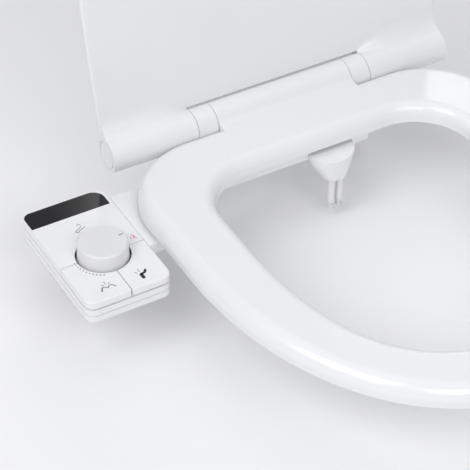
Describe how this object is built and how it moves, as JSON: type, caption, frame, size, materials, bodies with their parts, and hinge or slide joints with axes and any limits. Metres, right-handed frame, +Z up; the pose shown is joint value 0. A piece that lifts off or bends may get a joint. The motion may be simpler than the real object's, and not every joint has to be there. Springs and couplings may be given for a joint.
{
  "type": "electric bidet seat",
  "caption": "Toilet seat with soft-close lid, slim base plate with retractable wash nozzles and a side panel with flow knob, wash keys and dark display window.",
  "frame": {"origin": "midway between the two fixing bolts, on the plane where the base plate lies on the rim", "axes": "+Z up from the rim, -Y towards the front of the bowl, +X to the right of somebody who faces the seat; the panel is at -X"},
  "size_m": [0.437, 0.4566, 0.4853],
  "materials": {
    "white_shell": "smooth glossy white moulding",
    "white_fine": "smooth white moulding, slightly greyer",
    "knob_grey": "satin off-white moulding",
    "window_black": "glossy black window",
    "grey_plastic": "plain grey moulding",
    "nozzle_white": "smooth white moulding",
    "nozzle_head": "satin light grey moulding",
    "dark_rubber": "soft dark rubber",
    "pale_rubber": "soft pale rubber",
    "steel": "plain stainless steel",
    "brass": "machined brass",
    "board_green": "circuit board laminate",
    "black_plastic": "black moulding",
    "hose_clear": "milky tube"
  },
  "bodies": {
    "base": {"hinge_post_left": "white_shell", "hinge_post_right": "white_shell", "hinge_pin_left": "steel", "hinge_pin_right": "steel", "fixing_bolts": "steel", "cone_washers": "pale_rubber", "wing_nuts": "white_fine", "slot_adjusters": "white_fine", "base_plate": "white_shell", "plate_cover": "white_shell", "plate_screws": "steel", "arm_fairing": "white_shell", "nozzle_guard": "white_shell", "nozzle_block": "grey_plastic", "panel_base": "white_shell", "panel_middle": "white_shell", "panel_cover": "white_shell", "display_window": "window_black", "panel_screws": "steel", "front_key_dome": "pale_rubber", "rear_key_dome": "pale_rubber", "key_frame": "grey_plastic", "key_board": "board_green", "key_switches": "black_plastic", "rotary_valve": "grey_plastic", "water_inlet": "brass", "inlet_filter": "steel", "inlet_washer": "dark_rubber", "solenoid_valve": "grey_plastic", "solenoid_coil": "black_plastic", "supply_pipe": "hose_clear", "link_pipe": "hose_clear", "diverter_block": "grey_plastic", "hose_front": "hose_clear", "hose_rear": "hose_clear", "cable_gland": "dark_rubber", "circuit_board": "board_green", "display_module": "black_plastic", "board_screws": "steel", "terminal_block": "grey_plastic"},
    "lid": {"lid": "white_shell", "lid_end_cap_left": "white_shell", "lid_end_cap_right": "white_shell", "lid_bumpers": "pale_rubber", "lid_damper": "grey_plastic", "lid_hinge_bush": "grey_plastic"},
    "seat": {"seat_ring": "white_shell", "seat_underside": "white_shell", "seat_bumpers": "pale_rubber", "seat_hinge_bush": "grey_plastic", "seat_damper": "grey_plastic"},
    "knob": {"knob": "knob_grey", "valve_stem": "grey_plastic", "stem_rings": "dark_rubber"},
    "front_wash_button": {"front_wash_key": "white_shell"},
    "rear_wash_button": {"rear_wash_key": "white_shell"},
    "nozzle_front": {"nozzle_tube_front": "nozzle_white", "nozzle_tip_front": "nozzle_head"},
    "nozzle_rear": {"nozzle_tube_rear": "nozzle_white", "nozzle_tip_rear": "nozzle_head"}
  },
  "joints": [
    {"name": "lid_hinge", "type": "hinge", "parent": "base", "child": "lid", "pos_m": [0, 0, 0.024], "axis": [-1, 0, 0], "range_deg": [-95.5, 0]},
    {"name": "seat_hinge", "type": "hinge", "parent": "base", "child": "seat", "pos_m": [0, 0, 0.024], "axis": [-1, 0, 0], "range_deg": [0, 94]},
    {"name": "knob_turn", "type": "hinge", "parent": "base", "child": "knob", "pos_m": [-0.2222, -0.098, 0.01], "axis": [0, 0, 1], "range_deg": [0, 229]},
    {"name": "front_wash_press", "type": "slide", "parent": "base", "child": "front_wash_button", "axis": [0, 0, -1], "range_m": [0, 0.0012], "stiffness_N_per_m": 900, "springref_m": -0.001, "deforming": ["front_key_dome"]},
    {"name": "rear_wash_press", "type": "slide", "parent": "base", "child": "rear_wash_button", "axis": [0, 0, -1], "range_m": [0, 0.0012], "stiffness_N_per_m": 900, "springref_m": -0.001, "deforming": ["rear_key_dome"]},
    {"name": "nozzle_front_slide", "type": "slide", "parent": "base", "child": "nozzle_front", "axis": [0, 0, 1], "range_m": [0, 0.014]},
    {"name": "nozzle_rear_slide", "type": "slide", "parent": "base", "child": "nozzle_rear", "axis": [0, 0, 1], "range_m": [0, 0.014]}
  ]
}
